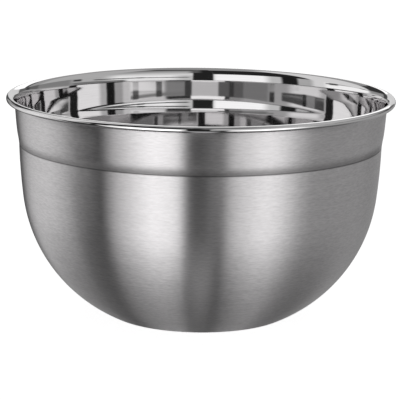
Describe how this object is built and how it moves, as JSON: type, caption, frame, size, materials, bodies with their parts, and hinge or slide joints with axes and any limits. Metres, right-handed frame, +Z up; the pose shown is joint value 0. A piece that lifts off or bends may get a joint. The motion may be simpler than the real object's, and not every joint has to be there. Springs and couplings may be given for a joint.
{
  "type": "mixing bowl",
  "caption": "Deep round steel mixing bowl: flat base, rounded wall, pressed band under the rim, rim rolled round a wire.",
  "frame": {"origin": "centre of the flat ring the bowl stands on, on the table", "axes": "+Z up along the bowl's axis, out of its mouth; the bowl is round, so X and Y are any two level directions"},
  "size_m": [0.28, 0.28, 0.1595],
  "materials": {
    "bowl_shell": "satin, brushed round the bowl outside; mirror polished inside and on the bead",
    "rim_wire": "plain drawn wire"
  },
  "bodies": {
    "root": {"bowl_shell": "bowl_shell", "rim_wire": "rim_wire"}
  },
  "joints": []
}
